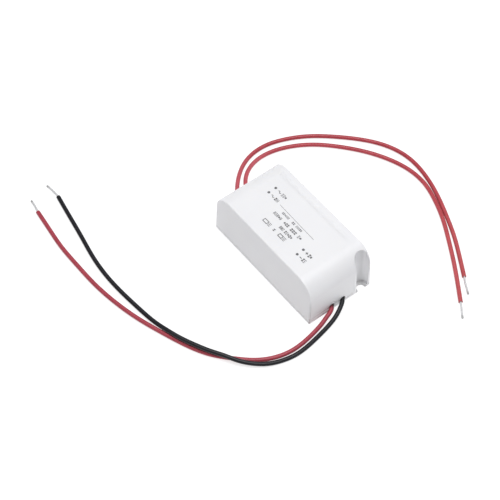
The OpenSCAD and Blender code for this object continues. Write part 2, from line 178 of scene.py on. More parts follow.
def blend(t, factor, a, b, how="MIX", at=(0, 450)):
    """Two colours mixed or multiplied; factor is a number or an output socket."""
    mix = t.nodes.new("ShaderNodeMix")
    mix.data_type, mix.blend_type, mix.location = "RGBA", how, at
    if isinstance(factor, (int, float)):
        mix.inputs["Factor"].default_value = factor
    else:
        t.links.new(factor, mix.inputs["Factor"])
    t.links.new(a, mix.inputs["A"])
    t.links.new(b, mix.inputs["B"])
    return mix.outputs["Result"]


def calc(t, how, a, b=None, clamp=False):
    """One arithmetic node; a and b are numbers or output sockets."""
    n = t.nodes.new("ShaderNodeMath")
    n.operation, n.use_clamp = how, clamp
    for i, v in enumerate((a, b)):
        if v is None:
            continue
        if isinstance(v, (int, float)):
            n.inputs[i].default_value = v
        else:
            t.links.new(v, n.inputs[i])
    return n.outputs[0]


def far(t, u, v):
    return calc(t, "SQRT", calc(t, "ADD", calc(t, "MULTIPLY", u, u), calc(t, "MULTIPLY", v, v)))


def painted_light_and_shade(t):
    """Factor on the plastic's colour, all painted light and shade: painted shade in the screw pocket, a painted
    highlight on its thin rim, painted shade along the corners, painted light and shade over the end curves and
    painted shade along the top groove.
    """
    sep = t.nodes.new("ShaderNodeSeparateXYZ")
    t.links.new(coords(t, scale=(1000, 1000, 1000)), sep.inputs[0])
    x, y, z = sep.outputs
    ax, ay = calc(t, "ABSOLUTE", x), calc(t, "ABSOLUTE", y)
    # painted shade inside the screw pocket, deeper towards its floor
    axis = far(t, calc(t, "SUBTRACT", x, 29.5), calc(t, "SUBTRACT", y, 11.35))
    d = calc(t, "SUBTRACT", axis, calc(t, "ADD", calc(t, "MULTIPLY", z, 0.04), 2.852))
    inside = calc(t, "MULTIPLY", span(t, d, 1.0, 0.0, 0.03, 0.14), span(t, z, 0.0, 1.0, 0.02, 0.12))
    deep = calc(t, "ADD", span(t, y, 0.95, 0.83, 11.0, 13.2), span(t, y, 0.0, 0.18, 13.3, 14.3))
    deep = calc(t, "MULTIPLY", deep, calc(t, "MULTIPLY", span(t, z, 0.86, 1.0, 1.5, 7.0), span(t, z, 0.88, 1.0, 1.22, 1.3)))
    pocket = calc(t, "SUBTRACT", 1.0, calc(t, "MULTIPLY", inside, calc(t, "SUBTRACT", 1.0, deep)))
    # painted highlight: a pale band on the pocket's thin rim
    band = calc(t, "MULTIPLY", span(t, d, 0.0, 1.0, 0.0, 0.06), span(t, d, 1.0, 0.0, 0.6, 0.95))
    band = calc(t, "MULTIPLY", band, span(t, z, 1.0, 0.0, 11.5, 15.0))
    rim = calc(t, "ADD", 1.0, calc(t, "MULTIPLY", band, 0.10))
    # painted shade: a dull line down the upright corners
    u = calc(t, "SUBTRACT", calc(t, "SUBTRACT", 30.0, calc(t, "MULTIPLY", z, 0.01746)), ax)
    v = calc(t, "SUBTRACT", calc(t, "SUBTRACT", 15.5, calc(t, "MULTIPLY", z, 0.02619)), ay)
    line = calc(t, "MULTIPLY", span(t, far(t, u, v), 1.0, 0.0, 0.3, 0.85), span(t, z, 1.0, 0.0, 11.0, 15.0))
    corner = calc(t, "SUBTRACT", 1.0, calc(t, "MULTIPLY", line, 0.15))
    # painted light on the curve over the far end, a touch paler, and painted shade on the one over the near end, a
    # touch duller
    over = calc(t, "MULTIPLY", span(t, x, 0.0, 0.035, 22.0, 28.0), span(t, z, 0.0, 1.0, 14.0, 17.5))
    ends = calc(t, "SUBTRACT", span(t, x, 1.05, 1.0, -29.5, -22.5), over)
    # painted shade along the shallow groove on the top
    groove = calc(t, "MULTIPLY", span(t, calc(t, "ABSOLUTE", calc(t, "SUBTRACT", y, 10.9)), 1.0, 0.0, 0.2, 1.3),
                  span(t, calc(t, "ABSOLUTE", calc(t, "ADD", x, 1.0)), 1.0, 0.0, 19.0, 23.0))
    groove = calc(t, "MULTIPLY", groove, span(t, z, 0.0, 0.042, 22.1, 22.3))
    ends = calc(t, "SUBTRACT", ends, groove)
    face = calc(t, "MULTIPLY", calc(t, "MULTIPLY", pocket, rim), calc(t, "MULTIPLY", corner, ends))
    return face, foot_shade(t, x, y, z)


def foot_shade(t, x, y, z):
    """Dull, red-tinged painted shade low on the output end, in the lee of the red lead, the tinge a painted
    reflection of the lead: a wash and two fine lines.
    """
    face = calc(t, "MULTIPLY", span(t, x, 0.0, 1.0, 29.2, 29.5), span(t, y, 1.0, 0.0, -5.6, -4.9))
    # a fine line of painted shade at the foot
    low = calc(t, "MULTIPLY", span(t, z, 1.0, 0.0, 0.8, 1.3), span(t, y, 0.15, 0.95, -14.0, -8.0))
    # a second fine line of painted shade, higher up the end face
    painted_shade_line = calc(t, "MULTIPLY", span(t, z, 0.0, 1.0, 2.2, 2.5), span(t, z, 1.0, 0.0, 2.8, 3.1))
    painted_shade_line = calc(t, "MULTIPLY", painted_shade_line, span(t, y, 0.12, 0.55, -14.0, -8.5))
    wash = calc(t, "MULTIPLY", span(t, z, 0.24, 0.0, 1.5, 5.0), span(t, y, 0.0, 1.0, -14.5, -8.5))
    lines = calc(t, "MAXIMUM", calc(t, "MAXIMUM", low, painted_shade_line), wash)
    return ramp(t, calc(t, "MULTIPLY", face, lines), [(0.0, (1, 1, 1)), (1.0, (0.32, 0.19, 0.21))], (-350, 900))


def white_plastic():
    m, t = new_material("white_plastic_finish")
    p = shader(t, Subsurface_Weight=0.25, Subsurface_Scale=0.0016,
               Subsurface_Radius=(1.0, 0.97, 0.9), IOR=1.5, Specular_IOR_Level=0.42)
    v = coords(t)
    flow = noise(t, v, 45, 2, 0.5, (-650, 300))
    spark = noise(t, v, 5200, 3, 0.65, (-650, -100))
    wave = noise(t, coords(t, scale=(1, 1.6, 1.6)), 140, 2, 0.5, (-650, -400))
    skin = ramp(t, flow, [(0.3, (0.815, 0.815, 0.83)), (0.7, (0.84, 0.84, 0.85))], (-350, 300))
    # painted shade: the colour darkened by ambient occlusion in the seams, the lead slots and under the rim
    near = t.nodes.new("ShaderNodeAmbientOcclusion")
    near.location, near.samples = (-650, 600), 12
    near.inputs["Distance"].default_value = 0.0026
    painted_crevice_shade = ramp(t, near.outputs["AO"], [(0.06, (0.22, 0.215, 0.21)), (0.3, (0.70, 0.695, 0.68)), (0.5, (1, 1, 1))],
                 (-350, 600))
    layers = skin
    for i, other in enumerate((painted_crevice_shade, *painted_light_and_shade(t))):
        layers = blend(t, 1.0, layers, other, "MULTIPLY", (120 * i, 450))
    t.links.new(layers, p.inputs["Base Color"])
    t.links.new(span(t, spark, 0.36, 0.5), p.inputs["Roughness"])
    soft = bump(t, None, wave, 3e-5, 1.0, at=(-100, -500))
    bump(t, p, spark, 4e-6, 1.0, under=soft)
    m.diffuse_color = (0.83, 0.83, 0.84, 1)
    return m


def insulation(name, dark, light, rough, sub=0.0, pale=(), shine=0.38, **more):
    """Extruded soft PVC. UV x runs round the lead and y along it, in metres.

    pale: colours (dark, light) of painted light, paler than the rest, on the leads at the input end, paler still on
    their free ends, and a painted highlight over their first stretch.
    """
    m, t = new_material(name)
    p = shader(t, Subsurface_Weight=sub, Subsurface_Scale=0.0004, IOR=1.45, Specular_IOR_Level=shine, **more)
    lines = noise(t, coords(t, "UV", (26, 55, 1)), 1.0, 3, 0.6, (-650, -200))
    patch = noise(t, coords(t, "UV", (2, 160, 1)), 1.0, 2, 0.5, (-650, 200))
    lay = noise(t, coords(t, "UV", (5, 700, 1), (0, 0, 0.004)), 1.0, 1, 0.4, (-650, -500))
    base = ramp(t, patch, [(0.3, dark), (0.7, light)], (-350, 200))
    place = t.nodes.new("ShaderNodeSeparateXYZ")
    t.links.new(coords(t, "UV"), place.inputs[0])
    if pale:
        sep = t.nodes.new("ShaderNodeSeparateXYZ")
        t.links.new(coords(t, scale=(1000, 1000, 1000)), sep.inputs[0])
        # painted light: the leads at the input end paler
        input_end_light = calc(t, "SUBTRACT", sep.outputs[1], calc(t, "MULTIPLY", sep.outputs[0], 0.3))
        input_end_light = span(t, input_end_light, 0.0, 1.0, -6.0, 0.0)
        # painted light, paler still towards their free ends
        free = calc(t, "MULTIPLY", input_end_light, span(t, sep.outputs[0], 0.0, 1.0, -5.0, 40.0))
        # painted highlight over their first stretch out of the case
        first = calc(t, "MULTIPLY", input_end_light, span(t, place.outputs[1], 1.0, 0.0, 0.026, 0.038))
        for f, (a, b) in zip((input_end_light, free, first), pale):
            base = blend(t, f, base, ramp(t, patch, [(0.3, a), (0.7, b)], (-350, 450)))
    # painted shade where it comes out of its slot
    base = blend(t, 1.0, base, span(t, place.outputs[1], 0.12, 1.0, 0.0036, 0.0050), "MULTIPLY")
    t.links.new(base, p.inputs["Base Color"])
    t.links.new(span(t, lines, rough - 0.05, rough + 0.07), p.inputs["Roughness"])
    first = bump(t, None, lay, 1.2e-5, 1.0, at=(-100, -500))
    bump(t, p, lines, 5e-6, 1.0, under=first)
    m.diffuse_color = (*light, 1)
    return m


def tinned(name="tinned_finish", shades=(0.55, 0.65, 0.72), bead=False):
    """Solder on copper. bead: darker over the last bit, where UV y counts from the wire's end, in metres."""
    m, t = new_material(name)
    p = shader(t, Metallic=0.35)
    v = coords(t)
    cloud = noise(t, v, 1500, 3, 0.6, (-650, 200))
    fine = noise(t, v, 9000, 2, 0.6, (-650, -200))
    base = ramp(t, cloud, [(x, (g, g, g * 1.01)) for x, g in zip((0.3, 0.55, 0.75), shades)], (-350, 200))
    if bead:
        sep = t.nodes.new("ShaderNodeSeparateXYZ")
        t.links.new(coords(t, "UV"), sep.inputs[0])
        dull = ramp(t, span(t, sep.outputs[1], 0.0, 1.0, -0.0017, -0.0009), [(0, (1, 1, 1)), (1, (0.66, 0.66, 0.65))], (-350, 450))
        base = blend(t, 1.0, base, dull, "MULTIPLY")
    t.links.new(base, p.inputs["Base Color"])
    t.links.new(span(t, cloud, 0.58, 0.44), p.inputs["Roughness"])
    bump(t, p, fine, 5e-6)
    m.diffuse_color = (0.7, 0.7, 0.71, 1)
    return m


def ink():
    m, t = new_material("ink_finish")
    p = shader(t, IOR=1.5)
    v = coords(t)
    worn = noise(t, v, 2600, 3, 0.7, (-650, 200))
    t.links.new(ramp(t, worn, [(0.32, (0.21, 0.21, 0.22)), (0.62, (0.10, 0.10, 0.105))], (-350, 200)),
                p.inputs["Base Color"])
    t.links.new(span(t, worn, 0.7, 0.5), p.inputs["Roughness"])
    bump(t, p, noise(t, v, 9000, 2, 0.5, (-650, -200)), 2e-6)
    m.diffuse_color = (0.14, 0.14, 0.15, 1)
    return m


def banded(name, body, bands, axis, start, end, rough=0.45):
    """Painted part with colour bands: bands are (from, to, colour) along its length, 0 to 1."""
    m, t = new_material(name)
    p = shader(t, IOR=1.5)
    v = coords(t)
    s = t.nodes.new("ShaderNodeSeparateXYZ")
    s.location = (-850, 200)
    t.links.new(v, s.inputs[0])
    at = span(t, s.outputs[axis], 0, 1, start, end, (-650, 200))
    stops = [(0.0, body)]
    for a, b, c in bands:
        stops += [(a, c), (b, body)]
    t.links.new(ramp(t, at, stops, (-350, 200), "CONSTANT"), p.inputs["Base Color"])
    n = noise(t, v, 2500, 2, 0.5, (-650, -200))
    t.links.new(span(t, n, rough - 0.08, rough + 0.08), p.inputs["Roughness"])
    bump(t, p, n, 1e-5)
    m.diffuse_color = (*body, 1)
    return m


def wound(name, scale=(1, 1, 1), pitch=3400, turn=(0, 0, 0)):
    """Turns of enamelled wire: a wave across the winding."""
    m, t = new_material(name)
    p = shader(t, IOR=1.55, Metallic=0.35)
    v = coords(t, scale=scale, turn=turn)
    w = t.nodes.new("ShaderNodeTexWave")
    w.location = (-650, 0)
    w.wave_profile = "SIN"
    w.inputs["Scale"].default_value = pitch
    w.inputs["Distortion"].default_value = 0.6
    w.inputs["Detail"].default_value = 1
    t.links.new(v, w.inputs["Vector"])
    t.links.new(ramp(t, w.outputs[0], [(0.05, (0.16, 0.05, 0.02)), (0.6, (0.62, 0.26, 0.09))], (-350, 200)),
                p.inputs["Base Color"])
    t.links.new(span(t, w.outputs[0], 0.5, 0.28, 0, 1), p.inputs["Roughness"])
    bump(t, p, w.outputs[0], 6e-5)
    m.diffuse_color = (0.55, 0.22, 0.08, 1)
    return m


def sleeve(name, col, mark, centre, near=0.0):
    """Shrunk sleeve of a can: a pale stripe down one side and a bare top."""
    m, t = new_material(name)
    p = shader(t, IOR=1.52)
    v = coords(t)
    s = t.nodes.new("ShaderNodeSeparateXYZ")
    s.location = (-900, 250)
    t.links.new(v, s.inputs[0])
    off = t.nodes.new("ShaderNodeMath")
    off.operation, off.location = "SUBTRACT", (-750, 300)
    off.inputs[1].default_value = centre[0] * MM
    t.links.new(s.outputs[0], off.inputs[0])
    stripe = ramp(t, span(t, off.outputs[0], 0, 1, -0.0042, 0.0042, (-600, 300)),
                  [(0.0, mark), (0.14, col)], (-350, 300), "CONSTANT")
    top = span(t, s.outputs[2], 0, 1, centre[1] * MM, (centre[1] + 0.05) * MM, (-600, 50))
    mix = t.nodes.new("ShaderNodeMix")
    mix.data_type, mix.location = "RGBA", (0, 200)
    mix.inputs["B"].default_value = (0.62, 0.63, 0.64, 1)
    t.links.new(top, mix.inputs["Factor"])
    t.links.new(stripe, mix.inputs["A"])
    t.links.new(mix.outputs["Result"], p.inputs["Base Color"])
    t.links.new(top, p.inputs["Metallic"])
    n = noise(t, v, 1200, 3, 0.5, (-600, -300))
    t.links.new(span(t, n, 0.24, 0.38), p.inputs["Roughness"])
    bump(t, p, n, 2e-5)
    m.diffuse_color = (*col, 1)
    return m


WHITE = white_plastic()
# red insulation; its pale colours are painted light on the input leads, with a painted highlight over their first
# stretch
RED = insulation("red_insulation_finish", (0.35, 0.044, 0.066), (0.42, 0.060, 0.084), 0.33, 0.1, shine=0.42,
                 pale=(((0.385, 0.040, 0.056), (0.455, 0.056, 0.073)), ((0.46, 0.078, 0.086), (0.55, 0.098, 0.108)),
                       ((0.465, 0.085, 0.106), (0.55, 0.107, 0.130))))
BLACK = insulation("black_insulation_finish", (0.006, 0.006, 0.009), (0.013, 0.013, 0.017), 0.38)
TIN = tinned()
TIN_TIP = tinned("tinned_wire_finish", (0.62, 0.67, 0.71), True)
INK = ink()


def paint(name, material):
    o = NODE[name]
    o.data.materials.clear()
    o.data.materials.append(material)


# ---------------------------------------------------------------- cords

def spline(points, step=0.6):
    """Natural cubic spline through the points, sampled about every step millimetres."""
    p = np.array(points, float)
    t = np.concatenate([[0], np.cumsum(np.linalg.norm(np.diff(p, axis=0), axis=1))])
    n = len(t)
    h = np.diff(t)
    a = np.zeros((n, n))
    r = np.zeros((n, 3))
    a[0, 0] = a[-1, -1] = 1
    for i in range(1, n - 1):
        a[i, i - 1], a[i, i], a[i, i + 1] = h[i - 1], 2 * (h[i - 1] + h[i]), h[i]
        r[i] = 6 * ((p[i + 1] - p[i]) / h[i] - (p[i] - p[i - 1]) / h[i - 1])
    m = np.linalg.solve(a, r)
    at = np.linspace(0, t[-1], int(round(t[-1] / step)) + 1)
    k = np.clip(np.searchsorted(t, at, "right") - 1, 0, n - 2)
    u, w = (t[k + 1] - at)[:, None], (at - t[k])[:, None]
    hk = h[k][:, None]
    return (m[k] * u ** 3 + m[k + 1] * w ** 3) / (6 * hk) \
        + (p[k] / hk - m[k] * hk / 6) * u + (p[k + 1] / hk - m[k + 1] * hk / 6) * w


def frames(line):
    """Tangents and a side vector at each point that doesn't twist along the line."""
    d = np.gradient(line, axis=0)
    d /= np.linalg.norm(d, axis=1)[:, None]
    side = np.cross(d[0], [0, 0, 1])
    side /= np.linalg.norm(side)
    out = []
    for v in d:
        side = side - v * (side @ v)
        side /= np.linalg.norm(side)
        out.append(side.copy())
    return d, np.array(out)


def link(name, mesh):
    o = bpy.data.objects.new(name, mesh)
    scene.collection.objects.link(o)
    return o


def lathe_tube(name, rings, sides, material, smooth=40):
    """A closed tube of rings, each (centre, side, up, radius or radii, place along it)."""
    verts, faces, uvs = [], [], []
    for c, s, u, r, _ in rings:
        rr = r if hasattr(r, "__len__") else [r] * sides
        for k in range(sides):
            a = 2 * math.pi * k / sides
            verts.append((c + rr[k] * (math.cos(a) * s + math.sin(a) * u)) * MM)
    for i in range(len(rings) - 1):
        for k in range(sides):
            j = (k + 1) % sides
            faces.append((i * sides + k, i * sides + j, (i + 1) * sides + j, (i + 1) * sides + k))
            va, vb = rings[i][4] * MM, rings[i + 1][4] * MM
            uvs.append([(k / sides, va), ((k + 1) / sides, va), ((k + 1) / sides, vb), (k / sides, vb)])
    last = (len(rings) - 1) * sides
    faces.append(tuple(range(sides - 1, -1, -1)))
    uvs.append([(0.5, 0.0)] * sides)
    faces.append(tuple(last + k for k in range(sides)))
    uvs.append([(0.5, rings[-1][4] * MM)] * sides)
    me = bpy.data.meshes.new(name)
    me.from_pydata([tuple(v) for v in verts], [], faces)
    layer = me.uv_layers.new(name="UVMap")
    flat = [c for f in uvs for c in f]
    for i, c in enumerate(flat):
        layer.data[i].uv = c
    me.materials.append(material)
    me.validate()
    bm = bmesh.new()
    bm.from_mesh(me)
    bmesh.ops.recalc_face_normals(bm, faces=bm.faces)
    bm.to_mesh(me)
    bm.free()
    me.polygons.foreach_set("use_smooth", [True] * len(me.polygons))
    o = link(name, me)
    if smooth:
        me.set_sharp_from_angle(angle=math.radians(smooth))
    return o


LZ = 0.9
ROUTES = {
    "output_lead_red": [
        (26.6, -3.2, 2.65), (28.5, -3.7, 2.6), (29.7, -4.1, 2.5), (30.8, -4.9, 2.4), (31.6, -6.3, 2.2),
        (32.3, -8.5, 1.8), (33.2, -11.3, 1.35), (34.3, -16, 0.95), (35.4, -22.6, LZ), (35.5, -29.1, LZ),
        (33.6, -36.5, LZ), (29.8, -42.9, LZ), (24.5, -48.5, LZ), (17.7, -54.3, LZ), (9.3, -58.9, LZ),
        (-1.9, -63.2, LZ), (-12.6, -66.7, LZ), (-24.6, -69.4, LZ), (-36.9, -70.9, LZ), (-49, -71.2, LZ),
        (-60, -71.1, LZ), (-70, -70.1, LZ), (-80.6, -68.9, LZ)],
    "output_lead_black": [
        (26.6, 2.2, 2.65), (28.6, 1.8, 2.65), (29.7, 1.4, 2.6), (30.6, 0.8, 2.5), (31.3, 0, 2.4),
        (32.3, -1.6, 2.2), (33.8, -4.6, 1.65), (35.6, -10.5, 1.05), (36.9, -17, LZ), (37.8, -23, LZ),
        (37.9, -29, LZ), (36.7, -34.6, LZ), (34.4, -40.1, 1.25), (30.9, -44.8, 1.85), (27.1, -48.2, 2.35),
        (22.4, -51.1, 2.8), (17.5, -54.1, 2.9), (11.6, -57.1, 2.9), (5.1, -59.8, 2.75), (-0.4, -61.4, 2.4),
        (-6.5, -62.6, 1.5), (-16, -63.7, LZ), (-26, -64.6, LZ), (-36, -64.9, LZ), (-48, -63.9, LZ),
        (-59, -61.9, LZ), (-70, -60, LZ), (-82, -57.9, LZ)],
    "input_lead_outer": [
        (-26.6, -1.5, 2.65), (-30.5, -1.5, 2.6), (-34, -0.5, 2), (-37.5, 1.3, 1.2), (-41, 4, 0.95),
        (-45.4, 8.6, LZ), (-48.6, 13.6, LZ), (-50.6, 19.9, LZ), (-50.6, 27.3, LZ), (-48.1, 35.6, LZ),
        (-43.1, 44.7, LZ), (-36.1, 53.1, LZ), (-28.2, 60.7, LZ), (-19.2, 66.8, LZ), (-9, 69.9, LZ),
        (3, 69.2, LZ), (14, 66.1, LZ), (24, 62, LZ), (33.9, 57.3, LZ), (42.8, 52.1, LZ), (51, 47, LZ)],
    "input_lead_inner": [
        (-26.6, 4, 2.65), (-30.5, 4, 2.6), (-34, 4.7, 2), (-37.5, 6, 1.2), (-41.1, 8.4, 0.95),
        (-44.3, 12.1, LZ), (-46.6, 18, LZ), (-46.7, 25.1, LZ), (-44, 34, LZ), (-38.5, 43, LZ),
        (-30.6, 51.1, LZ), (-22, 57.8, LZ), (-12.5, 63, LZ), (-2.5, 66, LZ), (6.5, 66, LZ), (14.9, 63.7, LZ),
        (24.1, 59.8, LZ), (33, 54.8, LZ), (42, 49.3, LZ), (51, 43.3, LZ), (59, 37.7, LZ)],
}
TIPS = {
    "output_tip_red": ("output_lead_red", [(-80.6, -68.9, LZ), (-82.3, -68.5, 0.85), (-85, -68, 0.65), (-87.4, -67.7, 0.5)]),
    "output_tip_black": ("output_lead_black", [(-82, -57.9, LZ), (-84.6, -57.9, 0.85), (-87.4, -58, 0.65), (-90, -58.3, 0.5)]),
    "input_tip_outer": ("input_lead_outer", [(51, 47, LZ), (52.6, 45.9, 0.8), (55.2, 44.4, 0.6), (58, 42.8, 0.5)]),
    "input_tip_inner": ("input_lead_inner", [(59, 37.7, LZ), (60.6, 36.6, 0.8), (62.8, 34.9, 0.6), (65, 33.3, 0.5)]),
}
R_LEAD, R_WIRE = 0.9, 0.45


def lead(name, material):
    line = spline(ROUTES[name])
    line[:, 2] = np.maximum(line[:, 2], LZ)
    along = np.concatenate([[0], np.cumsum(np.linalg.norm(np.diff(line, axis=0), axis=1))])
    d, side = frames(line)
    up = np.cross(side, d)
    sides = 28
    rings = []
    for i, c in enumerate(line):
        if along[-1] - along[i] < 0.35:
            break
        rings.append((c, side[i], up[i], R_LEAD, along[i]))
    # cut end: a small rounded lip, the face, and the hole that the wire comes out of
    e, de, s, u = line[-1], d[-1], side[-1], up[-1]
    rnd = random.Random(name)
    cut = [rnd.uniform(-0.018, 0.018) for _ in range(sides)]
    for back, r in ((0.22, R_LEAD), (0.1, R_LEAD - 0.01), (0.03, R_LEAD - 0.05), (0.0, R_LEAD - 0.12)):
        rr = [r + (cut[k] if back < 0.2 else 0) for k in range(sides)]
        rings.append((e - de * back, s, u, rr, along[-1] - back))
    for back, r in ((0.0, 0.64), (0.03, 0.56), (0.12, 0.51), (0.5, 0.49)):
        rings.append((e - de * back, s, u, r, along[-1] + back))
    o = lathe_tube(name + "_sleeve", rings, sides, material, smooth=55)
    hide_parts(name)
    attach(o, "root")
    return o, line * MM, float(along[-1]) * MM


def tip(name):
    owner, pts = TIPS[name]
    base = ROUTES[owner]
    # the wire starts a little way inside the insulation
    d0 = np.array(pts[0], float) - np.array(base[-2], float)
    d0[2] = 0
    d0 /= np.linalg.norm(d0)
    start = np.array(pts[0], float) - d0 * 1.2
    line = spline([start, *pts], 0.14)
    along = np.concatenate([[0], np.cumsum(np.linalg.norm(np.diff(line, axis=0), axis=1))])
    total = along[-1]
    d, side = frames(line)
    up = np.cross(side, d)
    sides = 42
    rnd = random.Random(name)
    lumps = [(rnd.uniform(1.5, total - 0.5), rnd.uniform(0.5, 0.9), rnd.uniform(-0.012, 0.02)) for _ in range(5)]
    rings = []
    for i, c in enumerate(line):
        s = along[i]
        left = total - s
        if left < 0.3:
            break
        # strands show near the insulation and drown in solder towards the end
        show = 0.5 + 0.5 * math.cos(math.pi * min(1, max(0, (s - 1.0) / (total * 0.75))))
        swell = 0.035 * math.exp(-((left - 0.9) / 0.7) ** 2)
        r0 = R_WIRE - 0.02 + swell + sum(h * math.exp(-((s - m) / w) ** 2) for m, w, h in lumps)
        rr = []
        for k in range(sides):
            a = 2 * math.pi * k / sides + s * 0.75
            rr.append(r0 - (0.004 + 0.014 * show) * (1 - abs(math.cos(3.5 * a))) ** 1.5)
        rings.append((c, side[i], up[i], rr, -left))
    e, de, s_, u_ = line[-1], d[-1], side[-1], up[-1]
    for q in (0.97, 0.86, 0.68, 0.42, 0.15):
        back = 0.3 * (1 - math.sqrt(1 - q * q))
        rings.append((e - de * (0.3 - 0.3 * math.sqrt(1 - q * q)), s_, u_, R_WIRE * 0.97 * q, -back))
    o = lathe_tube(name + "_wire", rings, sides, TIN_TIP, smooth=0)
    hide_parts(name)
    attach(o, "root")
    return o


for lead_name, tip_name in (("output_lead_red", "output_tip_red"), ("output_lead_black", "output_tip_black"),
                            ("input_lead_outer", "input_tip_outer"), ("input_lead_inner", "input_tip_inner")):
    wire = tip(tip_name)
    cord, path, long = lead(lead_name, BLACK if "black" in lead_name else RED)


# ---------------------------------------------------------------- case

HL, HW, CASE_H, WALL = 30.0, 15.5, 22.5, 1.5
END_R, EDGE_R = 8.0, 0.6
TE, TS = math.tan(math.radians(1)), math.tan(math.radians(1.5))
RIM_T, PLATE_T, PCB_Z, BOARD_TOP = 1.2, 2.0, 4.6, 6.2
POCKET_X, POCKET_Y, POCKET_R, TAPER, POCKET_WALL = 29.5, 11.35, 2.9, 0.04, 0.6
NOTCH_X, NOTCH_Y, NOTCH_R = 29.6, 11.2, 1.9
SLOT_Y, SLOT_HW, SLOT_TOP = (4.1, -1.45), 1.4, 3.8
RIB_X = (-17, 12.4)
POSTS = ((-17.6, 12.3), (11, 12.3), (-16.8, -12.3), (17.6, -12.3))


def profile(z, half, slope, r, h):
    """Half the width of a drafted wall with its top rounded over, at height z."""
    turn = math.atan(slope)
    cz = h - r
    c = half - cz * slope - r / math.cos(turn)
    if z <= cz + r * math.sin(turn):
        return half - z * slope
    return c + math.sqrt(max(0.0, r * r - (z - cz) ** 2))


def solid(name, verts, faces):
    me = bpy.data.meshes.new(name)
    me.from_pydata([tuple(np.array(v) * MM) for v in verts], [], faces)
    me.validate()
    bm = bmesh.new()
    bm.from_mesh(me)
    bmesh.ops.recalc_face_normals(bm, faces=bm.faces)
    bm.to_mesh(me)
    bm.free()
    return link(name, me)


def loft(name, rings):
    n = len(rings[0])
    verts = [v for r in rings for v in r]
    faces = [tuple(range(n - 1, -1, -1)), tuple((len(rings) - 1) * n + k for k in range(n))]
    for i in range(len(rings) - 1):
        for k in range(n):
            j = (k + 1) % n
            faces.append((i * n + k, i * n + j, (i + 1) * n + j, (i + 1) * n + k))
    return solid(name, verts, faces)


def round_rect(a, b, r, z, steps=7):
    out = []
    for sx, sy, a0 in ((1, 1, 0), (-1, 1, 90), (-1, -1, 180), (1, -1, 270)):
        for k in range(steps + 1):
            t = math.radians(a0 + 90 * k / steps)
            out.append((sx * (a - r) + r * math.cos(t), sy * (b - r) + r * math.sin(t), z))
    return out


def block(name, dl, dw, dh, r_end, r_edge, z0, corner, grow=0.0):
    h = CASE_H - dh
    turn = math.radians(1)
    levels = [z0] + [h - r_end + r_end * math.sin(turn + (math.pi / 2 - turn) * k / 32) for k in range(33)]
    rings = []
    for z in levels:
        a = profile(z, HL - dl, TE, r_end, h)
        b = profile(z, HW - dw, TS, r_edge, h)
        rings.append(round_rect(a, b, corner + grow * (z - z0), z))
    return loft(name, rings)


def box(name, lo, hi):
    (x0, y0, z0), (x1, y1, z1) = lo, hi
    return loft(name, [[(x0, y0, z), (x1, y0, z), (x1, y1, z), (x0, y1, z)] for z in (z0, z1)])


def cone(name, x, y, z0, r0, z1, r1, n=72):
    return loft(name, [[(x + r * math.cos(2 * math.pi * k / n), y + r * math.sin(2 * math.pi * k / n), z)
                        for k in range(n)] for z, r in ((z0, r0), (z1, r1))])


def mixed(target, other, how):
    """Boolean of two closed solids, both used up; returns the target with the result."""
    m = target.modifiers.new("cut", "BOOLEAN")
    m.operation, m.solver, m.object = how, "EXACT", other
    dg = bpy.context.evaluated_depsgraph_get()
    me = bpy.data.meshes.new_from_object(target.evaluated_get(dg))
    target.modifiers.clear()
    old, target.data = target.data, me
    bpy.data.meshes.remove(old)
    used = other.data
    bpy.data.objects.remove(other)
    bpy.data.meshes.remove(used)
    return target


def half_turn(o):
    """The same solid on the other side of the case."""
    me = o.data.copy()
    me.transform(Matrix.Rotation(math.pi, 4, "Z"))
    return link(o.name + "_b", me)


def both(target, o, how):
    other = half_turn(o)
    return mixed(mixed(target, o, how), other, how)


def pocket_cone(grow, z0, name):
    return cone(name, POCKET_X, POCKET_Y, z0, POCKET_R + grow + TAPER * (z0 - RIM_T),
                24.5, POCKET_R + grow + TAPER * (24.5 - RIM_T))


def side_limit():
    """Half space on the inner side of the thin wall beside the pocket."""
    o = box("limit", (0, -20, -5), (HL + 5, 0, CASE_H + 5))
    o.data.transform(Matrix.Translation((0, (HW - POCKET_WALL) * MM, 0)) @ Matrix.Rotation(math.radians(1.5), 4, "X"))
    return o


def arch(name, y):
    pts = [(y - SLOT_HW, 0.0), (y + SLOT_HW, 0.0)]
    pts += [(y + SLOT_HW * math.cos(a), SLOT_TOP - SLOT_HW + SLOT_HW * math.sin(a)) for a in np.linspace(0, math.pi, 21)]
    return loft(name, [[(x, q[0], q[1]) for q in pts] for x in (-HL - 2, -HL + 2)])


def depth(p):
    """How far a point in metres lies under the outer skin of the case, in millimetres."""
    x, y, z = (abs(p[0]) / MM, abs(p[1]) / MM, p[2] / MM)
    return min(profile(z, HL, TE, END_R, CASE_H) - x, profile(z, HW, TS, EDGE_R, CASE_H) - y, CASE_H - z)


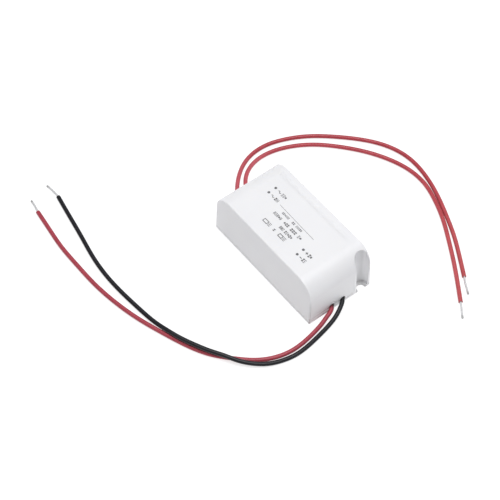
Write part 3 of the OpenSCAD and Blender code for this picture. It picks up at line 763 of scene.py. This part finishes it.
def finish_mesh(o, material, edges, width, segments=3, merge=0.02):
    bm = bmesh.new()
    bm.from_mesh(o.data)
    bmesh.ops.remove_doubles(bm, verts=bm.verts, dist=0.002 * MM)
    bmesh.ops.dissolve_limit(bm, angle_limit=math.radians(0.15), verts=bm.verts, edges=bm.edges, delimit=set())
    short = [v for e in bm.edges if e.calc_length() < merge * MM for v in e.verts]
    if short:
        bmesh.ops.remove_doubles(bm, verts=list(set(short)), dist=merge * MM)
    bm.edges.ensure_lookup_table()
    pick = [e for e in bm.edges if e.is_manifold and e.calc_face_angle() > math.radians(35) and edges(e)]
    bmesh.ops.bevel(bm, geom=pick, offset=width * MM, offset_type="OFFSET", segments=segments, profile=0.5,
                    affect="EDGES", clamp_overlap=True, loop_slide=True)
    bmesh.ops.recalc_face_normals(bm, faces=bm.faces)
    bm.to_mesh(o.data)
    bm.free()
    me = o.data
    me.materials.clear()
    me.materials.append(material)
    me.polygons.foreach_set("material_index", [0] * len(me.polygons))
    me.polygons.foreach_set("use_smooth", [True] * len(me.polygons))
    me.set_sharp_from_angle(angle=math.radians(33))
    m = o.modifiers.new("normals", "WEIGHTED_NORMAL")
    m.keep_sharp, m.weight = True, 60
    dg = bpy.context.evaluated_depsgraph_get()
    new = bpy.data.meshes.new_from_object(o.evaluated_get(dg))
    o.modifiers.clear()
    o.data = new
    bpy.data.meshes.remove(me)


def build_cover():
    o = block("cover", 0, 0, 0, END_R, EDGE_R, RIM_T, 0.25, 0.005)
    o = mixed(o, block("hollow", WALL, WALL, WALL, END_R - WALL, EDGE_R, RIM_T - 0.5, 0.3), "DIFFERENCE")
    skin = block("skin", 0.25, 0.25, 0.25, END_R, EDGE_R, RIM_T, 0.45)
    o = mixed(o, mixed(pocket_cone(1.4, RIM_T - 0.2, "pocket_wall"), skin, "INTERSECT"), "UNION")
    for x in RIB_X:
        for s in (-1, 1):
            y = (12.5, 14.3) if s > 0 else (-14.3, -12.5)
            o = mixed(o, box("rib", (x - 0.5, y[0], BOARD_TOP), (x + 0.5, y[1], CASE_H - WALL + 0.5)), "UNION")
    o = mixed(o, mixed(pocket_cone(0, RIM_T - 0.3, "pocket"), side_limit(), "INTERSECT"), "DIFFERENCE")
    for y in SLOT_Y:
        o = both(o, arch("slot", y), "DIFFERENCE")
    gap = box("gap", (-HL - 1, -HW - 1, RIM_T - 0.2), (HL + 1, HW + 1, RIM_T + 0.15))
    gap = mixed(gap, box("core", (-HL + 0.6, -HW + 0.6, 0), (HL - 0.6, HW - 0.6, 3)), "DIFFERENCE")
    o = mixed(o, gap, "DIFFERENCE")
    groove = cone("groove", 0, 0, -21.5, 3.0, 19.5, 3.0, 240)
    groove.data.transform(Matrix.Translation((0, 11.5 * MM, (CASE_H + 2.85) * MM)) @ Matrix.Rotation(math.pi / 2, 4, "Y"))
    o = mixed(o, groove, "DIFFERENCE")

    def rim(e):
        return all(depth(v.co) < 0.03 for v in e.verts)
    finish_mesh(o, WHITE, rim, 0.14)
    o.name = "cover_shell"
    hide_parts("housing")
    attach(o, "root")
    return o


def build_base():
    rings = [round_rect(HL - d, HW - d, 0.25 - d * 0.5, z, 7) for z, d in
             ((0, 0.14), (0.04, 0.05), (0.14, 0), (RIM_T - 0.1, 0), (RIM_T - 0.03, 0.035), (RIM_T, 0.1))]
    o = loft("plate", rings)
    mid = box("middle", (-HL + WALL + 0.2, -HW + WALL + 0.15, RIM_T - 0.1), (HL - WALL - 0.2, HW - WALL - 0.15, PLATE_T))
    mid = mixed(mid, cone("room", POCKET_X, POCKET_Y, RIM_T, POCKET_R + 1.6, 24, POCKET_R + 1.6 + 22.8 * TAPER), "DIFFERENCE")
    mid = mixed(mid, box("room2", (POCKET_X, POCKET_Y - POCKET_R - 1.6, RIM_T), (POCKET_X + 5, POCKET_Y + POCKET_R + 1.6, 3.2)),
                "DIFFERENCE")
    o = mixed(o, mid, "UNION")
    for x, y in POSTS:
        o = mixed(o, cone("post", x, y, PLATE_T - 0.1, 0.8, PCB_Z, 0.8, 40), "UNION")
    pts = [(NOTCH_X + 3, NOTCH_Y - NOTCH_R), (NOTCH_X + 3, NOTCH_Y + NOTCH_R)]
    pts += [(NOTCH_X + NOTCH_R * math.cos(a), NOTCH_Y + NOTCH_R * math.sin(a))
            for a in np.linspace(math.pi / 2, 3 * math.pi / 2, 37)]
    o = mixed(o, loft("notch", [[(*q, z) for q in pts] for z in (-1, 4)]), "DIFFERENCE")
    for y in SLOT_Y:
        o = both(o, box("way", (-HL - 1, y - SLOT_HW, RIM_T), (-HL + 4, y + SLOT_HW, 4.2)), "DIFFERENCE")

    def edge(e):
        return all(math.hypot(v.co.x / MM - NOTCH_X, v.co.y / MM - NOTCH_Y) < 2.2 for v in e.verts)
    finish_mesh(o, WHITE, edge, 0.12)
    o.name = "base_tray"
    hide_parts("base_plate")
    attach(o, "root")
    return o


build_cover()
build_base()


# ---------------------------------------------------------------- print on the top

def top_print():
    z0, z1 = 22.5, 22.515
    verts, faces = [], []

    def prism(outline):
        n, b = len(outline), len(verts)
        verts.extend([(x * MM, y * MM, z0 * MM) for x, y in outline])
        verts.extend([(x * MM, y * MM, z1 * MM) for x, y in outline])
        faces.append(tuple(b + n - 1 - k for k in range(n)))
        faces.append(tuple(b + n + k for k in range(n)))
        for k in range(n):
            j = (k + 1) % n
            faces.append((b + k, b + j, b + n + j, b + n + k))

    def bar(x0, x1, y0, y1):
        prism([(x0, y0), (x1, y0), (x1, y1), (x0, y1)])

    def dot(x, y, r):
        prism([(x + r * math.cos(a), y + r * math.sin(a)) for a in np.linspace(0, 2 * math.pi, 29)[:-1]])

    def stroke(points, w):
        p = np.array(points, float)
        d = np.gradient(p, axis=0)
        d /= np.linalg.norm(d, axis=1)[:, None]
        n = np.stack([-d[:, 1], d[:, 0]], 1) * w / 2
        prism([tuple(q) for q in (p - n)] + [tuple(q) for q in (p + n)[::-1]])

    def tilde(x, y, w, h, t):
        xs = np.linspace(-1, 1, 15)
        stroke([(x + a * w / 2, y - h / 2 * math.sin(a * math.pi)) for a in xs], t)

    def plus(x, y, w, t):
        prism([(x - w / 2, y - t / 2), (x - t / 2, y - t / 2), (x - t / 2, y - w / 2), (x + t / 2, y - w / 2),
               (x + t / 2, y - t / 2), (x + w / 2, y - t / 2), (x + w / 2, y + t / 2), (x + t / 2, y + t / 2),
               (x + t / 2, y + w / 2), (x - t / 2, y + w / 2), (x - t / 2, y + t / 2), (x - w / 2, y + t / 2)])

    def sign(x0, x1, y, h, t):
        """An empty frame, for the larger marks."""
        lo, hi = y - h / 2, y + h / 2
        bar(x0, x0 + t, lo, hi)
        bar(x1 - t, x1, lo, hi)
        bar(x0 + t, x1 - t, lo, lo + t)
        bar(x0 + t, x1 - t, hi - t, hi)

    rnd = random.Random(3)

    def word(x0, x1, y, h, t):
        """A stand-in for small print: a row of upright blocks, none of them a letter."""
        pitch = h * 0.72
        n = max(1, round((x1 - x0) / pitch))
        pitch = (x1 - x0) / n
        for i in range(n):
            a, b = x0 + i * pitch, x0 + (i + 1) * pitch - pitch * 0.24
            lo, hi = y - h / 2, y + h / 2
            kind = rnd.randrange(4)
            if kind == 0:
                bar(a, a + t, lo, hi)
                bar(b - t, b, lo, hi)
            elif kind == 1:
                bar(a, b, lo, lo + t)
                bar(a, b, y - t / 2, y + t / 2)
                bar(a, b, hi - t, hi)
            elif kind == 2:
                bar(a, b, lo + h * 0.22, hi - h * 0.22)
            else:
                bar(a, b, lo, y - t * 0.45)
                bar(a, b, y + t * 0.45, hi)

    dot(-17.2, 5.1, 0.58)
    dot(-17.2, 1.6, 0.58)
    tilde(-14.6, 5.0, 1.7, 0.75, 0.27)
    word(-13.2, -10.2, 5.0, 1.4, 0.26)
    tilde(-14.7, 1.6, 1.7, 0.75, 0.27)
    word(-13.3, -11.0, 1.6, 1.4, 0.26)
    stroke([(-9.5, 1.2), (-2.5, 1.07), (4.5, 0.93), (11.6, 0.8)], 0.14)
    for a, b in ((-6, -1.9), (0, 1.7), (2.4, 5.9)):
        word(a, b, -0.4, 0.95, 0.2)
    for a, b in ((-8.2, -3.5), (-1.9, 1), (2.2, 5.6), (6.6, 8.8)):
        word(a, b, -2.9, 1.35, 0.26)
    for a, b in ((-1.3, 1.2), (1.7, 6.2)):
        word(a, b, -5.5, 1.35, 0.26)
    for x0, x1, x2, t in ((-8.1, -5.5, -3.9, 0.29), (1.2, 3.5, 5.1, 0.33)):
        sign(x0, x1, -8.15, 1.65, t)
        for y in (-8.8, -8.15, -7.5):
            bar(x1 + 0.25, x2, y - t * 0.4, y + t * 0.4)
    word(-1.9, -0.8, -8.3, 1.1, 0.3)
    dot(12.9, -5.3, 0.58)
    dot(13.1, -8.5, 0.58)
    plus(15.1, -5.35, 1.2, 0.34)
    word(16.2, 18.2, -5.35, 1.6, 0.28)
    bar(14.6, 15.7, -8.65, -8.3)
    word(16.2, 18.1, -8.45, 1.6, 0.28)
    me = bpy.data.meshes.new("top_print")
    me.from_pydata(verts, [], faces)
    me.materials.append(INK)
    me.validate()
    o = link("top_print", me)
    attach(o, "root")
    return o


top_print()


# ---------------------------------------------------------------- inside

paint("circuit_board", plain("board_finish", (0.36, 0.27, 0.10), 0.55, change=0.1, scale=350, grain=3000, depth=1e-5))
paint("copper_tracks", plain("copper_finish", (0.72, 0.33, 0.16), 0.32, 0.9, change=0.12, scale=700))
paint("solder_joints", plain("solder_finish", (0.66, 0.67, 0.68), 0.28, 1.0, change=0.12, scale=2500, depth=1e-5))
for n in ("lead_tails", "transformer_pins"):
    paint(n, TIN)
EPOXY = plain("black_epoxy_finish", (0.022, 0.022, 0.023), 0.62, change=0.15, scale=1200, grain=6000, depth=8e-6)
for n in ("bridge_rectifier", "controller_chip"):
    paint(n, EPOXY)
paint("snubber_diode", banded("snubber_diode_finish", (0.022, 0.022, 0.023), [(0.22, 0.36, (0.62, 0.62, 0.62))], 0,
                              -0.0068, -0.0014))
paint("output_diode", banded("output_diode_finish", (0.022, 0.022, 0.023), [(0.16, 0.3, (0.62, 0.62, 0.62))], 0,
                             0.0139, 0.0213))
BANDS = [(0.26, 0.33, (0.25, 0.02, 0.02)), (0.40, 0.47, (0.02, 0.02, 0.02)), (0.54, 0.61, (0.6, 0.2, 0.02)),
         (0.70, 0.76, (0.55, 0.42, 0.12))]
paint("snubber_resistor", banded("snubber_resistor_finish", (0.52, 0.36, 0.2), BANDS, 0, -0.0069, -0.0015))
paint("bleed_resistor", banded("bleed_resistor_finish", (0.52, 0.36, 0.2), BANDS, 1, -0.0114, -0.007))
paint("fusible_resistor", banded("fusible_resistor_finish", (0.09, 0.25, 0.14),
                                 [(0.26, 0.33, (0.3, 0.12, 0.02)), (0.42, 0.49, (0.02, 0.02, 0.02)),
                                  (0.58, 0.65, (0.02, 0.02, 0.02)), (0.74, 0.8, (0.6, 0.6, 0.58))], 1, 0.005, 0.0112))
for n, cx, h in (("input_capacitor_1", -12.4, 12.5), ("input_capacitor_2", -12.6, 12.5)):
    paint(n, sleeve(n + "_finish", (0.02, 0.02, 0.045), (0.5, 0.5, 0.52), (cx, 6.2 + h - 0.3)))
paint("supply_capacitor", sleeve("supply_capacitor_finish", (0.02, 0.02, 0.045), (0.5, 0.5, 0.52), (-5.8, 16.9)))
for n in ("output_capacitor_1", "output_capacitor_2"):
    paint(n, sleeve(n + "_finish", (0.01, 0.07, 0.035), (0.55, 0.5, 0.2), (17.6, 6.2 + 11.7)))
FERRITE = plain("ferrite_finish", (0.055, 0.055, 0.06), 0.5, change=0.2, scale=1500, grain=4000, depth=1.2e-5)
for n in ("filter_choke_core", "transformer_core_a", "transformer_core_b"):
    paint(n, FERRITE)
paint("filter_choke_winding", wound("choke_wire_finish", pitch=2600, turn=(0, math.pi / 2, 0)))
paint("transformer_winding", wound("transformer_wire_finish", pitch=2600))
paint("transformer_bobbin", plain("bobbin_finish", (0.018, 0.018, 0.02), 0.45, change=0.1))
TAPE = plain("tape_finish", (0.72, 0.50, 0.03), 0.25, change=0.05, scale=400, grain=2500, depth=1e-5)
for n in ("winding_tape", "core_tape"):
    paint(n, TAPE)
paint("snubber_capacitor", plain("brown_dip_finish", (0.33, 0.10, 0.03), 0.28, change=0.1))
paint("safety_capacitor", plain("blue_dip_finish", (0.03, 0.09, 0.40), 0.26, change=0.1))
paint("optocoupler", plain("pale_epoxy_finish", (0.72, 0.70, 0.62), 0.55, change=0.05))
paint("chip_resistors", plain("chip_glaze_finish", (0.02, 0.02, 0.025), 0.3, change=0.2, scale=2500))
paint("chip_capacitors", plain("chip_ceramic_finish", (0.40, 0.27, 0.16), 0.5, change=0.15, scale=2500))


# ---------------------------------------------------------------- stage and light

def stage():
    me = bpy.data.meshes.new("floor")
    s = 4.0
    me.from_pydata([(-s, -s, -3e-5), (s, -s, -3e-5), (s, s, -3e-5), (-s, s, -3e-5)], [], [(0, 1, 2, 3)])
    o = link("floor", me)
    m, t = new_material("floor_finish")
    p = shader(t, Roughness=1.0, Specular_IOR_Level=0.0, Emission_Strength=0.74)
    p.inputs["Emission Color"].default_value = (1, 1, 1, 1)
    v = coords(t)
    t.links.new(ramp(t, noise(t, v, 30, 2), [(0.3, (0.38, 0.38, 0.385)), (0.7, (0.4, 0.4, 0.405))]),
                p.inputs["Base Color"])
    me.materials.append(m)


def area(name, at, aim, size, watts, colour=(1, 1, 1)):
    l = bpy.data.lights.new(name, "AREA")
    l.shape, l.size, l.size_y = "RECTANGLE", size[0], size[1]
    l.energy, l.color = watts, colour
    o = bpy.data.objects.new(name, l)
    o.location = at
    o.rotation_mode = "QUATERNION"
    o.rotation_quaternion = (Vector(aim) - Vector(at)).to_track_quat("-Z", "Y")
    scene.collection.objects.link(o)
    return o


stage()
w = bpy.data.worlds.new("studio")
scene.world = w
w.use_nodes = True
w.node_tree.nodes["Background"].inputs["Color"].default_value = (0.96, 0.965, 1.0, 1)
w.node_tree.nodes["Background"].inputs["Strength"].default_value = 0.3
area("overhead_softbox", (0.06, 0.06, 1.3), (0, 0, 0.01), (1.0, 1.0), 15.6)
scene.view_settings.view_transform = "Standard"
scene.view_settings.look = "None"
